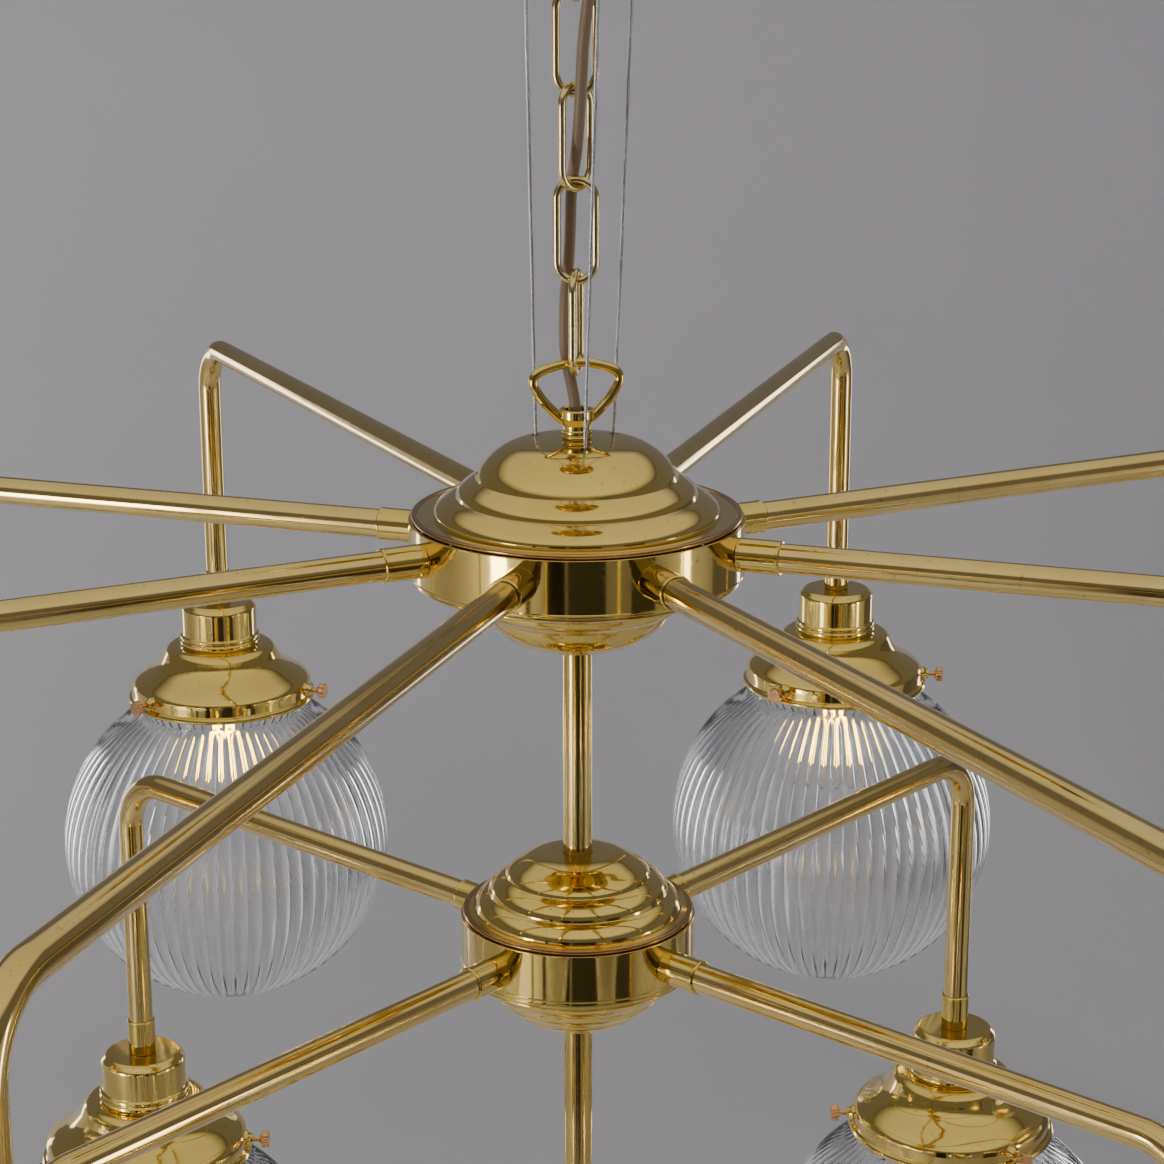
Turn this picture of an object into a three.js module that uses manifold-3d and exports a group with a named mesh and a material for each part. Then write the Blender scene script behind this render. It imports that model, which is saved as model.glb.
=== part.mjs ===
// Two-tier brass chandelier: eight long arms over four short ones and one lamp below the stem.
// It hangs on a chain and three steel safety wires from a ceiling rose. Millimetres, +Z up,
// origin at the middle of the rose's plate, on the ceiling.
import * as THREE from 'three';
import { mergeVertices } from 'three/addons/utils/BufferGeometryUtils.js';
import Module from 'manifold-3d';

const wasm = await Module();
wasm.setup();

// Heights.
const UPPER_Z = -295;
const TIER_SPACING = 185;
const LOWER_Z = UPPER_Z - TIER_SPACING;
const GAP = 0.3;

// Arms: horizontal tube, quarter bend, drop tube down to the lamp.
const TUBE_R = 6.6;
const TUBE_BORE = 5.2;
const COLLAR_R = 7.5;
const COLLAR_LENGTH = 19;
const BEND_R = 27;
const UPPER_REACH = 495;
const LOWER_REACH = 315;
const LAMP_DROP = 158;
const UPPER_ARMS = 8;
const LOWER_ARMS = 4;

// Hubs.
const UPPER_BAND = { radius: 73.1, top: 11, bottom: -13.7 };
const LOWER_BAND = { radius: 53, top: 12.4, bottom: -12.4 };
const BAND_WALL = 1.8;
const BAND_SIDES = 32;
const CAP_SIDES = 16;
const STEM_HOLE_R = 7.1;
const STEM_OVERLAP = 9;

// Suspension.
const HOOK_WIRE_R = 2;
const HOOK_RING_R = 10;
const HOOK_RING_Z = UPPER_Z + 240.5;
const LINK_WIRE_R = 1.7;
const LINK_HALF_WIDTH = 8.15;
const LINK_LENGTH = 46.2;
const LINK_PITCH = LINK_LENGTH - 4 * LINK_WIRE_R - GAP;
const LOWEST_LINK = 72.7;
const LINK_TURNS = [-4, 41, -4, 74];
const LOOP_WIRE_R = 2.1;
const LOOP_TURN = 9;
const LOOP_TOP_Z = 78.6;
const NIPPLE_TOP_Z = 58.6;
const CAP_TOP_Z = 45.9;
const ROSE_R = 55;
const ROSE_DEPTH = 30;
const WIRE_R = 0.8;
const WIRE_HOLE_R = 1.9;
const WIRE_CAP_HOLES = [[-17.2, 9.8], [16.7, 9.6], [2.2, -18.8]];
const WIRE_ROSE_HOLES = [[-20.4, 11.5], [25.5, 10.5], [8.8, -22.5]];
const WIRE_CAP_Z = 44.6;
const WIRE_TAILS = [4, 6];
const FLEX_R = 2.5;
const FLEX_HOLE_R = 4;
const FLEX_ENTRY = [8, -13];

// Lamps, measured down from the top of the lampholder cup.
const LAMP_SIDES = 10;
const GLOBE_SIDES = 12;
const GLOBE_R = 100;
const GLASS = 2.6;
const GLOBE_CENTRE = -153;
const NECK_R = 49;
const NECK_TOP = -51.5;
const SCREW_Z = -53.2;
const SCREW_COUNT = 3;
const UPPER_SCREW_ANGLES = [71, 108, 103, 96, 15, 52, 25, 80];
const LOWER_SCREW_ANGLES = [56, 116, 20, 88];
const CENTRE_SCREW_ANGLE = 40;

const BRASS = { color: 0xc9a052, roughness: 0.16, metalness: 1 };
const FLEX_SKIN = { color: 0x6e5233, roughness: 0.45, metalness: 0.2 };
const STEEL = { color: 0xb8b8ba, roughness: 0.35, metalness: 1 };
const CLEAR_GLASS = { color: 0xe9eef2, roughness: 0.05, metalness: 0 };
const PALE_PLASTIC = { color: 0xd8d4c8, roughness: 0.5, metalness: 0 };

const chandelier = new THREE.Group();

function radians(degrees) {
  return THREE.MathUtils.degToRad(degrees);
}

function signedVolume(geometry) {
  const p = geometry.attributes.position;
  const index = geometry.index;
  const a = new THREE.Vector3();
  const b = new THREE.Vector3();
  const c = new THREE.Vector3();
  let volume = 0;
  for (let i = 0; i < index.count; i += 3) {
    a.fromBufferAttribute(p, index.getX(i));
    b.fromBufferAttribute(p, index.getX(i + 1));
    c.fromBufferAttribute(p, index.getX(i + 2));
    volume += a.dot(b.cross(c)) / 6;
  }
  return volume;
}

// Merged vertices, faces turned out.
function closed(geometry) {
  const bare = geometry.clone();
  bare.deleteAttribute('normal');
  bare.deleteAttribute('uv');
  const merged = mergeVertices(bare, 1e-3);
  const kept = [];
  const source = Array.from(merged.index.array);
  for (let i = 0; i < source.length; i += 3) {
    const [a, b, c] = source.slice(i, i + 3);
    if (a !== b && b !== c && c !== a) kept.push(a, b, c);
  }
  merged.setIndex(kept);
  if (signedVolume(merged) < 0) {
    const turned = [];
    for (let i = 0; i < kept.length; i += 3) turned.push(kept[i], kept[i + 2], kept[i + 1]);
    merged.setIndex(turned);
  }
  return merged;
}

function solid(geometry) {
  const mesh = closed(geometry);
  const vertProperties = new Float32Array(mesh.attributes.position.array);
  const triVerts = new Uint32Array(mesh.index.array);
  return new wasm.Manifold(new wasm.Mesh({ numProp: 3, vertProperties, triVerts }));
}

function geometryOf(manifold) {
  const mesh = manifold.getMesh();
  const geometry = new THREE.BufferGeometry();
  const positions = new Float32Array(mesh.vertProperties);
  geometry.setAttribute('position', new THREE.BufferAttribute(positions, 3));
  geometry.setIndex(new THREE.BufferAttribute(new Uint32Array(mesh.triVerts), 1));
  geometry.computeVertexNormals();
  return geometry;
}

// Profile of [radius, height] pairs turned round the Z axis.
function lathe(profile, sides, turn = 0) {
  const points = profile.map(([r, z]) => new THREE.Vector2(r, z));
  const geometry = new THREE.LatheGeometry(points, sides);
  geometry.rotateX(Math.PI / 2);
  geometry.rotateZ(radians(turn));
  return closed(geometry);
}

function ring(profile, sides, turn = 0) {
  return lathe([...profile, profile[0]], sides, turn);
}

function drill(radius, from, to, x = 0, y = 0, sides = 8) {
  const cylinder = new THREE.CylinderGeometry(radius, radius, to - from, sides);
  cylinder.rotateX(Math.PI / 2);
  cylinder.translate(x, y, (from + to) / 2);
  return solid(cylinder);
}

// A route through given points with given directions, one step from point to point.
class KnotPath extends THREE.Curve {
  constructor(points, tangents) {
    super();
    this.points = points;
    this.tangents = tangents;
  }
  knot(list, u) {
    const place = u * (list.length - 1);
    const first = Math.min(Math.floor(place), list.length - 2);
    return list[first].clone().lerp(list[first + 1], place - first);
  }
  getPoint(t) {
    return this.knot(this.points, t);
  }
  getPointAt(u) {
    return this.knot(this.points, u);
  }
  getTangent(t) {
    return this.knot(this.tangents, t).normalize();
  }
  getTangentAt(u) {
    return this.knot(this.tangents, u).normalize();
  }
}

function roundSection(radius, sides, bore = 0, boreSides = 4) {
  const corner = (r, n, i) => {
    const angle = (2 * Math.PI * (i + 0.5)) / n;
    return new THREE.Vector2(r * Math.cos(angle), r * Math.sin(angle));
  };
  const outline = Array.from({ length: sides }, (_, i) => corner(radius, sides, i));
  const shape = new THREE.Shape(outline);
  if (bore > 0) {
    const inner = Array.from({ length: boreSides }, (_, i) => corner(bore, boreSides, -i - 1));
    shape.holes.push(new THREE.Path(inner));
  }
  return shape;
}

function sweep(shape, path, steps) {
  return new THREE.ExtrudeGeometry(shape, { steps, extrudePath: path, bevelEnabled: false });
}

function smoothPath(points) {
  return new THREE.CatmullRomCurve3(points.map((p) => new THREE.Vector3(...p)), false, 'centripetal');
}

function add(name, geometry, look) {
  const mesh = new THREE.Mesh(geometry, new THREE.MeshStandardMaterial(look));
  mesh.name = name;
  return mesh;
}

// ---- Ceiling fitting -------------------------------------------------------

function ceilingPlate() {
  const profile = [[0, 0], [44, 0], [44, -3], [8, -3], [8, -13], [0, -13]];
  return lathe(profile, CAP_SIDES);
}

function ceilingRose() {
  const shell = ring([
    [ROSE_R, 0], [ROSE_R, -4], [50, -17], [42, -26], [34, -ROSE_DEPTH], [3.6, -ROSE_DEPTH],
    [3.6, -ROSE_DEPTH + 1.5], [33, -ROSE_DEPTH + 1.5], [47, -18], [ROSE_R - 2, 0],
  ], CAP_SIDES);
  let rose = solid(shell);
  for (const [x, y] of WIRE_ROSE_HOLES) {
    rose = rose.subtract(drill(WIRE_HOLE_R, -ROSE_DEPTH - 1, -ROSE_DEPTH + 3, x, y, 6));
  }
  rose = rose.subtract(drill(FLEX_HOLE_R, -ROSE_DEPTH - 1, -ROSE_DEPTH + 3, ...FLEX_ENTRY));
  return geometryOf(rose);
}

function ceilingHook() {
  const shankTop = -13 - GAP;
  const collarTop = -ROSE_DEPTH - GAP;
  const ringTop = HOOK_RING_Z + HOOK_RING_R;
  const shank = lathe([
    [0, ringTop], [4, ringTop], [8, collarTop - 4], [8, collarTop], [3, collarTop],
    [3, shankTop], [0, shankTop],
  ], 8);
  const loop = new THREE.TorusGeometry(HOOK_RING_R, HOOK_WIRE_R, 6, 16);
  loop.rotateY(Math.PI / 2);
  loop.translate(0, 0, HOOK_RING_Z);
  return geometryOf(solid(shank).add(solid(loop)));
}

function flexBush() {
  const top = -ROSE_DEPTH - GAP;
  const geometry = ring([[FLEX_R + 2.8, top], [FLEX_R + 2, top - 3.5], [FLEX_R + 0.3, top - 3.5],
    [FLEX_R + 0.3, top]], 8);
  geometry.translate(FLEX_ENTRY[0], FLEX_ENTRY[1], 0);
  return geometry;
}

// ---- Chain, loop, flex and wires ---------------------------------------------

// An oblong link: a ring whose two halves stand apart.
function chainLink(bottom, turn) {
  const stretch = LINK_LENGTH / 2 - LINK_HALF_WIDTH - LINK_WIRE_R;
  const tubularSteps = 12;
  const link = new THREE.TorusGeometry(LINK_HALF_WIDTH / Math.cos(Math.PI / tubularSteps), LINK_WIRE_R,
    6, tubularSteps);
  link.rotateZ(Math.PI / tubularSteps);
  const p = link.attributes.position;
  for (let i = 0; i < p.count; i += 1) p.setY(i, p.getY(i) + stretch * Math.sign(p.getY(i)));
  link.rotateX(Math.PI / 2);
  link.rotateZ(radians(turn));
  link.translate(0, 0, UPPER_Z + bottom + LINK_LENGTH / 2);
  return closed(link);
}

// The loop is cast with the hollow nipple that the flex goes into.
function suspensionLoop() {
  const outline = [[-6, 53.6], [-9.7, 57.2], [-15.3, 63.4], [-18.9, 70.5], [-17.5, 74], [-9.2, 77.4],
    [0, LOOP_TOP_Z], [9.2, 77.4], [17.5, 74], [18.9, 70.5], [15.3, 63.4], [9.7, 57.2], [6, 53.6]];
  const wire = solid(sweep(roundSection(LOOP_WIRE_R, 6), smoothPath(outline.map(([x, z]) => [x, 0, z])), 18));
  const body = solid(lathe([[0, 46.3], [6.4, 46.3], [6.4, 48], [5.8, 49], [5.9, 51.5], [7.5, 54.5],
    [7.5, NIPPLE_TOP_Z], [0, NIPPLE_TOP_Z]], 10));
  const bore = drill(5.7, 50, NIPPLE_TOP_Z + 3, 0, 0, 10);
  const part = geometryOf(body.add(wire).subtract(bore));
  part.rotateZ(radians(LOOP_TURN));
  part.translate(0, 0, UPPER_Z);
  return part;
}

// Route of the flex beside and between the links: in front of the first, through the second,
// behind the third, left of the fourth and down into the nipple.
const FLEX_ROUTE = [
  [8, -13, -34.2], [7.7, -12.6, -43.1], [6.2, -11, -53.7], [4.2, -8.6, -67.5], [2.6, -7, -83.4],
  [1.9, -6.3, -96], [1.4, -5.4, -106.6], [0.8, -3.2, -118.1], [0, 0.6, -128.7], [-1, 4.2, -137.1],
  [-1.6, 5.8, -144.4], [-2, 6.2, -156.9], [-2.6, 6.4, -170.5], [-3.4, 6.2, -179.8], [-4.5, 4.6, -190.2],
  [-4.8, 3.6, -201.7], [-4.7, 4.2, -210], [-3.9, 5.2, -216.2], [-2.8, 4.6, -222.3], [-1.4, 2.4, -229.6],
  [-0.4, 0.7, -236.8], [-0.1, 0.1, -243.5],
];

function flex() {
  return closed(sweep(roundSection(FLEX_R, 8), smoothPath(FLEX_ROUTE), 21));
}

// Straight through both holes, and a little beyond each.
function safetyWire(i) {
  const rose = new THREE.Vector3(...WIRE_ROSE_HOLES[i], -ROSE_DEPTH);
  const cap = new THREE.Vector3(...WIRE_CAP_HOLES[i], UPPER_Z + WIRE_CAP_Z);
  const along = cap.clone().sub(rose).normalize();
  const top = rose.clone().addScaledVector(along, -WIRE_TAILS[0]);
  const low = cap.clone().addScaledVector(along, WIRE_TAILS[1]);
  return closed(sweep(roundSection(WIRE_R, 8), new THREE.LineCurve3(top, low), 10));
}

// ---- Hubs ----------------------------------------------------------------------

function hubBand(band) {
  const outer = band.radius;
  const inner = outer - BAND_WALL;
  const profile = [[outer, band.bottom], [outer, band.top], [inner, band.top], [inner, band.bottom]];
  return ring(profile, BAND_SIDES, 180 / BAND_SIDES);
}

// Stepped domed cover: the outside from rim to crown, the inside back again.
const UPPER_CAP = [[71.9, 11.3], [71.2, 13.4], [62.5, 13.2], [60.2, 18.2], [52.2, 21.1], [49.6, 26.2],
  [43.7, 28.9], [39.4, 35.8], [31.6, 42.4], [21.5, 45.1]];
const UPPER_CAP_INSIDE = [[21, 43.8], [30.6, 41.1], [41.4, 27.7], [50.2, 19.8], [60.2, 12.2], [66, 11.3]];
const LOWER_CAP = [[52, 12.7], [51.6, 14.6], [46.8, 14.8], [45, 20.4], [40, 24], [37.8, 28.6],
  [32.5, 31.6], [29, 35.8], [20, 40.4]];
const LOWER_CAP_INSIDE = [[19.4, 39.2], [28, 34.6], [31, 30.4], [38.2, 22.8], [44.8, 13.6], [47, 12.7]];
const BOWL_SCALE = 0.93;

function cover(outside, inside, crown, holeR) {
  return ring([...outside, [holeR, crown], [holeR, crown - 1.3], ...inside], CAP_SIDES);
}

function upperCap() {
  let cap = solid(cover(UPPER_CAP, UPPER_CAP_INSIDE, CAP_TOP_Z, 4.5));
  for (const [x, y] of WIRE_CAP_HOLES) cap = cap.subtract(drill(WIRE_HOLE_R, 40, 48, x, y, 6));
  return geometryOf(cap);
}

function lowerCap() {
  return cover(LOWER_CAP, LOWER_CAP_INSIDE, 42.6, STEM_HOLE_R);
}

// The upper hub's bottom is the same stepped shape, smaller, with a wide flange to the band.
function upperBowl() {
  const flip = (r, z) => [r * BOWL_SCALE, UPPER_BAND.bottom - GAP - (z - UPPER_BAND.top - GAP) * BOWL_SCALE];
  const outside = UPPER_CAP.slice(2).map(([r, z]) => flip(r, z));
  const inside = UPPER_CAP_INSIDE.slice(0, 5).map(([r, z]) => flip(r, z));
  const rim = UPPER_BAND.radius - 1.2;
  const seat = UPPER_BAND.bottom - GAP;
  const crown = flip(0, CAP_TOP_Z)[1];
  return ring([[rim, seat], [rim, seat - 1.6], ...outside, [STEM_HOLE_R, crown],
    [STEM_HOLE_R, crown + 1.3], ...inside, [57, seat]], CAP_SIDES);
}

function lowerBowl() {
  const geometry = lowerCap();
  geometry.scale(1, 1, -1);
  return closed(geometry);
}

// ---- Stems and arms --------------------------------------------------------------

function tubeBetween(top, bottom, collars) {
  const wall = roundSection(TUBE_R, 12, TUBE_BORE, 6);
  const line = new THREE.LineCurve3(new THREE.Vector3(0, 0, top), new THREE.Vector3(0, 0, bottom));
  let tube = solid(sweep(wall, line, 1));
  for (const [from, to] of collars) tube = tube.add(collarBetween([0, 0, from], [0, 0, to], 12));
  return geometryOf(tube);
}

function collarBetween(from, to, sides = 8) {
  const line = new THREE.LineCurve3(new THREE.Vector3(...from), new THREE.Vector3(...to));
  return solid(sweep(roundSection(COLLAR_R, sides, TUBE_BORE + 0.5, sides), line, 1));
}

// An arm along +X from the hub band, bent down to its lamp.
function armTube(band, reach) {
  const apothem = band.radius * Math.cos(Math.PI / BAND_SIDES);
  const start = apothem + GAP;
  const bottom = -LAMP_DROP + GAP;
  const bendSteps = 4;
  const points = [new THREE.Vector3(start, 0, 0)];
  const tangents = [new THREE.Vector3(1, 0, 0)];
  for (let i = 0; i <= bendSteps; i += 1) {
    const angle = (Math.PI / 2) * (i / bendSteps);
    const x = reach - BEND_R + BEND_R * Math.sin(angle);
    points.push(new THREE.Vector3(x, 0, -BEND_R + BEND_R * Math.cos(angle)));
    tangents.push(new THREE.Vector3(Math.cos(angle), 0, -Math.sin(angle)));
  }
  points.push(new THREE.Vector3(reach, 0, bottom));
  tangents.push(new THREE.Vector3(0, 0, -1));
  const path = new KnotPath(points, tangents);
  const tube = solid(sweep(roundSection(TUBE_R, 8, TUBE_BORE, 4), path, points.length - 1));
  const hubCollar = collarBetween([start, 0, 0], [start + COLLAR_LENGTH, 0, 0]);
  const dropCollar = collarBetween([reach, 0, bottom + COLLAR_LENGTH], [reach, 0, bottom]);
  return geometryOf(tube.add(hubCollar).add(dropCollar));
}

// ---- Lamps ---------------------------------------------------------------------

// Cup, bell-shaped gallery, lampholder and bulb as one turned shell, open through the cup's top.
const LAMP_PROFILE = [
  [0, -131], [23, -119], [30, -101], [16.5, -60], [16.5, -28.5],
  [30.5, -29], [35.2, -39.2], [50, -46], [53, -52], [53, -61],
  [57, -61], [57, -59], [54.5, -57.5], [54.5, -51], [50.8, -44], [38.4, -38], [33, -27.8],
  [24.3, -26.5], [24.3, -21], [22.7, -3.5], [19.4, 0], [4.6, 0],
  [4.6, -2], [13, -4], [13, -60], [28.6, -101], [22, -117.6], [0, -129.4],
];

function thumbScrew(angle) {
  const screw = lathe([[0, 50.6], [1.6, 50.6], [1.6, 61.8], [4.6, 61.8], [4.6, 67], [0, 67]], 5);
  screw.rotateY(Math.PI / 2);
  screw.rotateZ(radians(angle));
  screw.translate(0, 0, SCREW_Z);
  return solid(screw);
}

function lamp(screwAngle) {
  let body = solid(lathe(LAMP_PROFILE, LAMP_SIDES));
  for (let i = 0; i < SCREW_COUNT; i += 1) body = body.add(thumbScrew(screwAngle + (360 * i) / SCREW_COUNT));
  return geometryOf(body);
}

function globe() {
  const outer = [30, 60, 90, 120, 150].map((a) => onGlobe(GLOBE_R, a));
  const inner = [30, 60, 90, 120, 150].map((a) => onGlobe(GLOBE_R - GLASS, a));
  const neckOuter = [[NECK_R, NECK_TOP], [NECK_R, outer[0][1]]];
  const neckInner = [[NECK_R - GLASS, inner[0][1]], [NECK_R - GLASS, NECK_TOP]];
  return lathe([[0, GLOBE_CENTRE - GLOBE_R], ...outer.slice(1).reverse(), ...neckOuter.reverse(),
    ...neckInner.reverse(), ...inner.slice(1), [0, GLOBE_CENTRE - GLOBE_R + GLASS]], GLOBE_SIDES);
}

function onGlobe(radius, polar) {
  return [radius * Math.sin(radians(polar)), GLOBE_CENTRE + radius * Math.cos(radians(polar))];
}

// ---- Assembly --------------------------------------------------------------------

function addLamp(parent, name, x, y, z, screwAngle) {
  const gallery = add(`gallery_${name}`, lamp(screwAngle), BRASS);
  const glass = add(`globe_${name}`, globe(), CLEAR_GLASS);
  gallery.position.set(x, y, z);
  glass.position.set(x, y, z);
  parent.add(gallery, glass);
}

function addTier(name, height, band, reach, count, screwAngles) {
  const tier = new THREE.Group();
  tier.position.z = height;
  tier.add(add(`${name}_hub_band`, hubBand(band), BRASS));
  for (let i = 0; i < count; i += 1) {
    const angle = (360 * (i + 0.5)) / count;
    const arm = add(`${name}_arm_${i + 1}`, armTube(band, reach), BRASS);
    arm.rotation.z = radians(angle);
    tier.add(arm);
    const x = reach * Math.cos(radians(angle));
    const y = reach * Math.sin(radians(angle));
    addLamp(tier, `${name}_${i + 1}`, x, y, -LAMP_DROP, screwAngles[i]);
  }
  chandelier.add(tier);
  return tier;
}

chandelier.add(add('ceiling_plate', ceilingPlate(), STEEL));
chandelier.add(add('ceiling_rose', ceilingRose(), BRASS));
chandelier.add(add('ceiling_hook', ceilingHook(), BRASS));
chandelier.add(add('flex_bush', flexBush(), PALE_PLASTIC));
LINK_TURNS.forEach((turn, i) => {
  const bottom = LOWEST_LINK + (LINK_TURNS.length - 1 - i) * LINK_PITCH;
  chandelier.add(add(`chain_link_${i + 1}`, chainLink(bottom, turn), BRASS));
});
chandelier.add(add('suspension_loop', suspensionLoop(), BRASS));
chandelier.add(add('flex', flex(), FLEX_SKIN));
WIRE_CAP_HOLES.forEach((hole, i) => {
  chandelier.add(add(`safety_wire_${i + 1}`, safetyWire(i), STEEL));
});

const upper = addTier('upper', UPPER_Z, UPPER_BAND, UPPER_REACH, UPPER_ARMS, UPPER_SCREW_ANGLES);
upper.add(add('upper_cap', upperCap(), BRASS));
upper.add(add('upper_bowl', upperBowl(), BRASS));

const lower = addTier('lower', LOWER_Z, LOWER_BAND, LOWER_REACH, LOWER_ARMS, LOWER_SCREW_ANGLES);
lower.add(add('lower_cap', lowerCap(), BRASS));
lower.add(add('lower_bowl', lowerBowl(), BRASS));

const stemTop = UPPER_Z - 45 + STEM_OVERLAP;
const stemBottom = LOWER_Z + 42 - STEM_OVERLAP;
chandelier.add(add('centre_stem', tubeBetween(stemTop, stemBottom, []), BRASS));
const dropTop = LOWER_Z - 42 + STEM_OVERLAP;
const dropBottom = LOWER_Z - LAMP_DROP + GAP;
const dropCollars = [[dropBottom + COLLAR_LENGTH, dropBottom]];
chandelier.add(add('lower_stem', tubeBetween(dropTop, dropBottom, dropCollars), BRASS));
addLamp(chandelier, 'centre', 0, 0, LOWER_Z - LAMP_DROP, CENTRE_SCREW_ANGLE);

export default chandelier;
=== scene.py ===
"""Looks for the two-tier chandelier: polished brass, ribbed glass globes, chain, flex and safety wires."""
import math

import bmesh
import bpy
import numpy as np
from mathutils import Matrix, Vector


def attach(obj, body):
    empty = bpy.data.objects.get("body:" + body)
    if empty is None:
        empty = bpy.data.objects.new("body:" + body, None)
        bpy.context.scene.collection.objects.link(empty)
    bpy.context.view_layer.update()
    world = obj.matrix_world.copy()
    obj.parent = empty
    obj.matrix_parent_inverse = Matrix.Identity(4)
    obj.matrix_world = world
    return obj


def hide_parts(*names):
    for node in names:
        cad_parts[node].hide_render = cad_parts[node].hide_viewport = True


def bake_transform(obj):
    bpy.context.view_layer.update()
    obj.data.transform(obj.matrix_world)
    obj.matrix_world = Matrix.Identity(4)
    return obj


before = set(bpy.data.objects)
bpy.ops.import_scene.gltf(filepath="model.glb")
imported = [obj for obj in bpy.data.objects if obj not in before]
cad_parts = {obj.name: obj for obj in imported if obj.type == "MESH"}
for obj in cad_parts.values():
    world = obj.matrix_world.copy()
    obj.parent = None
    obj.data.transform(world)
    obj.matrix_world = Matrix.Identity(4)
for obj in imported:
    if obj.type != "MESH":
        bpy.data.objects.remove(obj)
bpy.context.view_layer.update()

MM = 0.001
TAU = 2 * math.pi

# ---- Sizes shared with the CAD, in millimetres ----

UPPER_Z = -295.0
LOWER_Z = -480.0
LAMP_DROP = 158.0
UPPER_REACH = 495.0
LOWER_REACH = 315.0
TUBE_R = 6.5
COLLAR_R = 7.4
COLLAR_LENGTH = 19.0
BEND_R = 27.0
UPPER_BAND_R = 73.1
LOWER_BAND_R = 53.0
ROSE_DEPTH = 30.0
LINK_WIRE_R = 1.7
LINK_HALF_WIDTH = 8.15
LINK_LENGTH = 46.2
LINK_PITCH = 39.1
LOWEST_LINK = 72.7
LINK_TURNS = (-4, 41, -4, 74)
HOOK_RING_Z = UPPER_Z + 240.5
LOOP_TURN = 9
WIRE_CAP_HOLES = ((-17.2, 9.8), (16.7, 9.6), (2.2, -18.8))
WIRE_ROSE_HOLES = ((-20.4, 11.5), (25.5, 10.5), (8.8, -22.5))
WIRE_CAP_Z = 44.6
WIRE_TAILS = (4.0, 6.0)
FLEX_ENTRY = (8.0, -13.0)
FLEX_ROUTE = (
    (8, -13, -34.2), (7.7, -12.6, -43.1), (6.2, -11, -53.7), (4.2, -8.6, -67.5), (2.6, -7, -83.4),
    (1.9, -6.3, -96), (1.4, -5.4, -106.6), (0.8, -3.2, -118.1), (0, 0.6, -128.7), (-1, 4.2, -137.1),
    (-1.6, 5.8, -144.4), (-2, 6.2, -156.9), (-2.6, 6.4, -170.5), (-3.4, 6.2, -179.8), (-4.5, 4.6, -190.2),
    (-4.8, 3.6, -201.7), (-4.7, 4.2, -210), (-3.9, 5.2, -216.2), (-2.8, 4.6, -222.3), (-1.4, 2.4, -229.6),
    (-0.4, 0.7, -236.8), (-0.1, 0.1, -243.5),
)
UPPER_SCREW_ANGLES = (71, 108, 103, 96, 15, 52, 25, 80)
LOWER_SCREW_ANGLES = (56, 116, 20, 88)
CENTRE_SCREW_ANGLE = 40
GLOBE_CENTRE = -153.0
GLOBE_R = 100.0
GLOBE_WALL = 2.6
RIBS = 72
RIB_DEPTH = 1.35
RIB_START, RIB_FADE = 30.5, 4.5  # degrees from the top of the globe
SCREW_Z = -53.2
FLEX_R = 2.5
STRANDS, STRAND_R, STRAND_RING, STRAND_LAY, CORE_R = 6, 0.28, 0.52, 12.0, 0.42
BUTT_GAP = 0.12
SHARP = math.radians(38)

HUB_BRASS = ("chandelier", "polished_brass")

# ---- Camera ----

CAMERA_AT = (-0.0719, -1.1251, 0.0118)
CAMERA_YAW, CAMERA_PITCH, CAMERA_ROLL = 3.767, 16.106, 0.113
FOCAL_SHARE = 2694.0 / 1164.0


def make_camera():
    """A camera that stands in front and a little above, and looks down at the upper hub."""
    yaw, pitch, roll = (math.radians(a) for a in (CAMERA_YAW, CAMERA_PITCH, CAMERA_ROLL))
    ahead = Vector((math.sin(yaw) * math.cos(pitch), math.cos(yaw) * math.cos(pitch), -math.sin(pitch)))
    level = Vector((math.cos(yaw), -math.sin(yaw), 0))
    down = ahead.cross(level)
    right = math.cos(roll) * level + math.sin(roll) * down
    up = math.sin(roll) * level - math.cos(roll) * down
    data = bpy.data.cameras.new("camera")
    data.lens = FOCAL_SHARE * data.sensor_width
    data.clip_start = 0.01
    camera = bpy.data.objects.new("camera", data)
    bpy.context.scene.collection.objects.link(camera)
    camera.matrix_world = Matrix.Translation(CAMERA_AT) @ Matrix((right, up, -ahead)).transposed().to_4x4()
    bpy.context.scene.camera = camera


make_camera()

# ---- Mesh tools ----


def softened(profile, radius=0.4, steps=3, loop=False):
    """The profile with each corner rounded. A point may state its own radius as a third number."""
    pts = [np.array(p[:2], float) for p in profile]
    radii = [p[2] if len(p) > 2 else radius for p in profile]
    out, n = [], len(pts)
    for i, p in enumerate(pts):
        if not loop and i in (0, n - 1):
            out.append(p)
            continue
        a, b = pts[i - 1] - p, pts[(i + 1) % n] - p
        la, lb = np.linalg.norm(a), np.linalg.norm(b)
        if radii[i] <= 0 or min(la, lb) < 1e-6:
            out.append(p)
            continue
        a, b = a / la, b / lb
        half = math.acos(float(np.clip(a @ b, -1, 1))) / 2
        if half > math.radians(86):
            out.append(p)
            continue
        cut = min(radii[i] / math.tan(half), 0.45 * la, 0.45 * lb)
        start, end = p + a * cut, p + b * cut
        for k in range(steps + 1):
            t = k / steps
            out.append((1 - t) ** 2 * start + 2 * t * (1 - t) * p + t * t * end)
    return supported(out, loop)


def supported(points, loop):
    """Adds points just inside both ends of each long straight run, so that it shades flat."""
    out = []
    for i, p in enumerate(points):
        out.append(p)
        if i == len(points) - 1 and not loop:
            break
        q = points[(i + 1) % len(points)]
        length = np.linalg.norm(q - p)
        if length > 1.2:
            step = (q - p) / length * 0.15
            out += [p + step, q - step]
    return out


def lobe(points, steps=6):
    """A smooth run through (radius, height) points, kept as it is by softened()."""
    return [(x, z, 0) for x, z, _ in curve_through([(x, z, 0) for x, z in points], steps)]


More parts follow.
